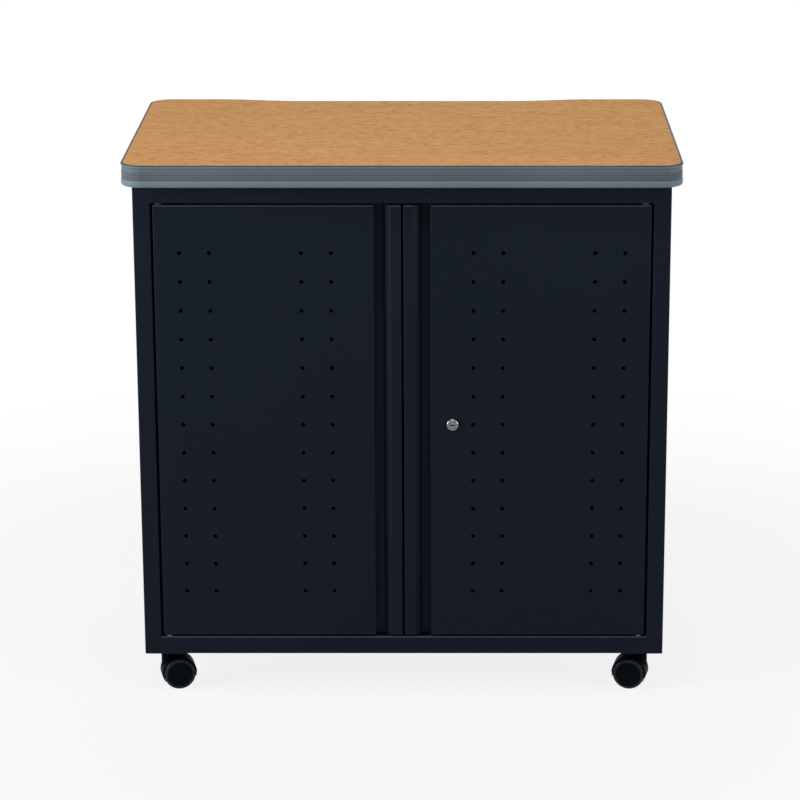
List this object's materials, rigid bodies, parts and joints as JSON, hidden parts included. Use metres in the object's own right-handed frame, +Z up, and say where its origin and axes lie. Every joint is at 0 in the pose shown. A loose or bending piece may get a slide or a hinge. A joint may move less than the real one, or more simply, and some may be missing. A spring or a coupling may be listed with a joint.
{
  "type": "mobile table",
  "caption": "Wheeled sheet-steel cabinet with perforated double doors, recessed finger pulls, a cam lock and swivel casters, under an oak-laminate worktop with a ribbed edge.",
  "frame": {"origin": "on the floor, under the middle of the worktop", "axes": "+X to the right as seen from the front, the doors face -Y, +Z up through the worktop"},
  "size_m": [0.9524, 0.6096, 0.958],
  "materials": {
    "powder_coat": "navy-black powder coat, fine orange peel, satin",
    "oak_laminate": "oak-grain high-pressure laminate, satin",
    "board": "raw particle board",
    "vinyl_edge": "grey-blue extruded vinyl, ribbed",
    "chrome": "bright chrome plate",
    "zinc": "zinc plated steel",
    "steel": "bright drawn steel",
    "black_nylon": "moulded black nylon, glossy",
    "white_nylon": "natural nylon",
    "catch_plastic": "moulded dark brown plastic"
  },
  "bodies": {
    "cabinet": {"laminate_sheet": "oak_laminate", "top_core": "board", "edge_moulding": "vinyl_edge", "left_side_panel": "powder_coat", "right_side_panel": "powder_coat", "back_panel": "powder_coat", "base_pan": "powder_coat", "left_caster_channel": "powder_coat", "right_caster_channel": "powder_coat", "top_front_rail": "powder_coat", "top_rear_rail": "powder_coat", "left_top_cleat": "powder_coat", "right_top_cleat": "powder_coat", "fixed_shelf": "powder_coat", "left_shelf_angle": "powder_coat", "right_shelf_angle": "powder_coat", "lock_strike": "zinc", "left_lower_pivot_pin": "zinc", "left_upper_pivot_pin": "zinc", "right_lower_pivot_pin": "zinc", "right_upper_pivot_pin": "zinc", "left_magnetic_catch": "catch_plastic", "right_magnetic_catch": "catch_plastic", "front_left_caster_plate": "zinc", "front_right_caster_plate": "zinc", "rear_left_caster_plate": "zinc", "rear_right_caster_plate": "zinc"},
    "left_door": {"left_door": "powder_coat", "left_door_stiffener": "powder_coat", "left_lower_pivot_bushing": "white_nylon", "left_upper_pivot_bushing": "white_nylon", "left_catch_plate": "zinc"},
    "right_door": {"right_door": "powder_coat", "right_door_stiffener": "powder_coat", "right_lower_pivot_bushing": "white_nylon", "right_upper_pivot_bushing": "white_nylon", "right_catch_plate": "zinc", "lock_housing": "chrome", "lock_nut": "zinc"},
    "lock_cylinder": {"lock_plug": "chrome", "lock_cam": "zinc", "lock_cam_screw": "zinc"},
    "front_left_caster": {"front_left_caster_hood": "black_nylon", "front_left_caster_axle": "steel"},
    "front_left_near_wheel": {"front_left_caster_near_wheel": "black_nylon"},
    "front_left_far_wheel": {"front_left_caster_far_wheel": "black_nylon"},
    "front_right_caster": {"front_right_caster_hood": "black_nylon", "front_right_caster_axle": "steel"},
    "front_right_near_wheel": {"front_right_caster_near_wheel": "black_nylon"},
    "front_right_far_wheel": {"front_right_caster_far_wheel": "black_nylon"},
    "rear_left_caster": {"rear_left_caster_hood": "black_nylon", "rear_left_caster_axle": "steel"},
    "rear_left_near_wheel": {"rear_left_caster_near_wheel": "black_nylon"},
    "rear_left_far_wheel": {"rear_left_caster_far_wheel": "black_nylon"},
    "rear_right_caster": {"rear_right_caster_hood": "black_nylon", "rear_right_caster_axle": "steel"},
    "rear_right_near_wheel": {"rear_right_caster_near_wheel": "black_nylon"},
    "rear_right_far_wheel": {"rear_right_caster_far_wheel": "black_nylon"}
  },
  "joints": [
    {"name": "left_door_hinge", "type": "hinge", "parent": "cabinet", "child": "left_door", "pos_m": [-0.4139, -0.2733, 0.10975], "axis": [0, 0, 1], "range_deg": [-110, 0]},
    {"name": "right_door_hinge", "type": "hinge", "parent": "cabinet", "child": "right_door", "pos_m": [0.4139, -0.2733, 0.10975], "axis": [0, 0, 1], "range_deg": [0, 110]},
    {"name": "lock_turn", "type": "hinge", "parent": "right_door", "child": "lock_cylinder", "pos_m": [0.08585, -0.2828, 0.4975], "axis": [0, -1, 0], "range_deg": [0, 90]},
    {"name": "front_left_swivel", "type": "hinge", "parent": "cabinet", "child": "front_left_caster", "pos_m": [-0.4212, -0.2468, 0], "axis": [0, 0, 1], "continuous": true},
    {"name": "front_left_near_wheel_spin", "type": "hinge", "parent": "front_left_caster", "child": "front_left_near_wheel", "pos_m": [-0.40262, -0.24285, 0.028], "axis": [-0.2079, 0.9781, 0], "continuous": true},
    {"name": "front_left_far_wheel_spin", "type": "hinge", "parent": "front_left_caster", "child": "front_left_far_wheel", "pos_m": [-0.40262, -0.24285, 0.028], "axis": [-0.2079, 0.9781, 0], "continuous": true},
    {"name": "front_right_swivel", "type": "hinge", "parent": "cabinet", "child": "front_right_caster", "pos_m": [0.4212, -0.2468, 0], "axis": [0, 0, 1], "continuous": true},
    {"name": "front_right_near_wheel_spin", "type": "hinge", "parent": "front_right_caster", "child": "front_right_near_wheel", "pos_m": [0.40262, -0.24285, 0.028], "axis": [-0.2079, -0.9781, 0], "continuous": true},
    {"name": "front_right_far_wheel_spin", "type": "hinge", "parent": "front_right_caster", "child": "front_right_far_wheel", "pos_m": [0.40262, -0.24285, 0.028], "axis": [-0.2079, -0.9781, 0], "continuous": true},
    {"name": "rear_left_swivel", "type": "hinge", "parent": "cabinet", "child": "rear_left_caster", "pos_m": [-0.4212, 0.2468, 0], "axis": [0, 0, 1], "continuous": true},
    {"name": "rear_left_near_wheel_spin", "type": "hinge", "parent": "rear_left_caster", "child": "rear_left_near_wheel", "pos_m": [-0.40276, 0.2422, 0.028], "axis": [0.2419, 0.9703, 0], "continuous": true},
    {"name": "rear_left_far_wheel_spin", "type": "hinge", "parent": "rear_left_caster", "child": "rear_left_far_wheel", "pos_m": [-0.40276, 0.2422, 0.028], "axis": [0.2419, 0.9703, 0], "continuous": true},
    {"name": "rear_right_swivel", "type": "hinge", "parent": "cabinet", "child": "rear_right_caster", "pos_m": [0.4212, 0.2468, 0], "axis": [0, 0, 1], "continuous": true},
    {"name": "rear_right_near_wheel_spin", "type": "hinge", "parent": "rear_right_caster", "child": "rear_right_near_wheel", "pos_m": [0.40335, 0.2403, 0.028], "axis": [0.342, -0.9397, 0], "continuous": true},
    {"name": "rear_right_far_wheel_spin", "type": "hinge", "parent": "rear_right_caster", "child": "rear_right_far_wheel", "pos_m": [0.40335, 0.2403, 0.028], "axis": [0.342, -0.9397, 0], "continuous": true}
  ]
}
